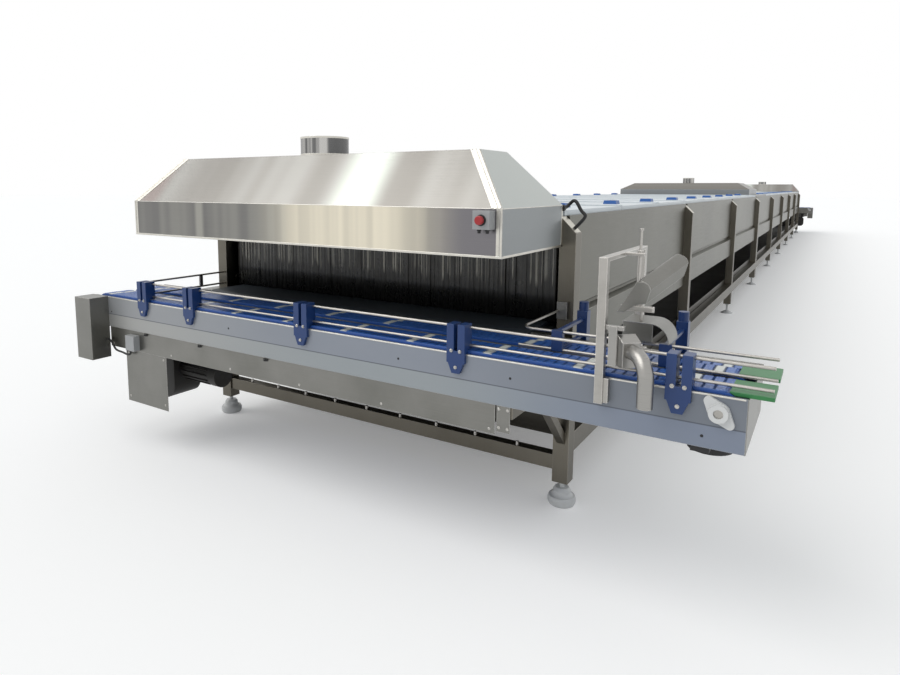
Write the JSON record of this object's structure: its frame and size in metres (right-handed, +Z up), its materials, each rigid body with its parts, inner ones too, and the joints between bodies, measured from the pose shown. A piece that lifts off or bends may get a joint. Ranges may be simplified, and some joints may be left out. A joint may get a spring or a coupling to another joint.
{
  "type": "pasteurization tunnel",
  "caption": "Long stainless spray tunnel on levelling feet with a cross conveyor, strip curtain and extraction hood at each end and a third hood on the roof.",
  "frame": {"origin": "on the floor under the middle of the machine, halfway along the tunnel and on its centre line", "axes": "+Y along the tunnel from the entrance end to the exit end, +X to the right seen from the entrance, +Z up"},
  "size_m": [4.268, 25.66, 1.83],
  "materials": {
    "frame_steel": "brushed",
    "panel_steel": "brushed",
    "hood_steel": "brushed",
    "film_steel": "satin",
    "belt_dark": "matte",
    "belt_blue": "matte",
    "bracket_blue": "gloss",
    "strip_green": "matte",
    "curtain_strip": "gloss",
    "cover_white": "satin",
    "white_plastic": "satin",
    "black_plastic": "matte",
    "red_plastic": "gloss",
    "bearing_white": "satin",
    "motor_dark": "satin"
  },
  "bodies": {
    "root": {"belt_wear_strips": "white_plastic", "bottom_rails": "frame_steel", "carrier_beams": "frame_steel", "cover_handles": "bracket_blue", "cross_rails": "frame_steel", "curtain_rails": "frame_steel", "drive_boxes": "panel_steel", "elbow_pipes": "hood_steel", "end_flues": "hood_steel", "end_hoods": "hood_steel", "end_pads": "black_plastic", "end_plates": "film_steel", "fall_guards": "hood_steel", "flange_bearings": "bearing_white", "front_brackets": "bracket_blue", "front_plates": "film_steel", "gearmotors": "motor_dark", "guard_plates": "panel_steel", "guide_rods": "frame_steel", "head_beams": "frame_steel", "height_arms": "frame_steel", "hood_connectors": "black_plastic", "inlet_boxes": "hood_steel", "lane_belts": "belt_blue", "lane_carriers": "frame_steel", "lane_shafts": "frame_steel", "lane_slides": "white_plastic", "levelling_feet": "white_plastic", "lower_panels": "panel_steel", "main_belt": "belt_dark", "middle_flue": "hood_steel", "middle_hood": "hood_steel", "middle_hood_curb": "cover_white", "nose_cheeks": "frame_steel", "nose_rollers": "frame_steel", "portal_feet": "frame_steel", "portal_frames": "frame_steel", "portal_spindles": "frame_steel", "posts": "frame_steel", "rail_spacers": "frame_steel", "rear_brackets": "bracket_blue", "rear_plates": "film_steel", "rod_holders": "frame_steel", "roof_covers": "cover_white", "short_leads": "black_plastic", "side_panels": "panel_steel", "side_plates": "panel_steel", "stop_boxes": "white_plastic", "stop_buttons": "red_plastic", "strip_curtains": "curtain_strip", "sump_tray": "panel_steel", "support_arms": "frame_steel", "terminal_boxes": "white_plastic", "tilt_covers": "hood_steel", "transfer_noses": "strip_green", "water_trough": "panel_steel"}
  },
  "joints": []
}
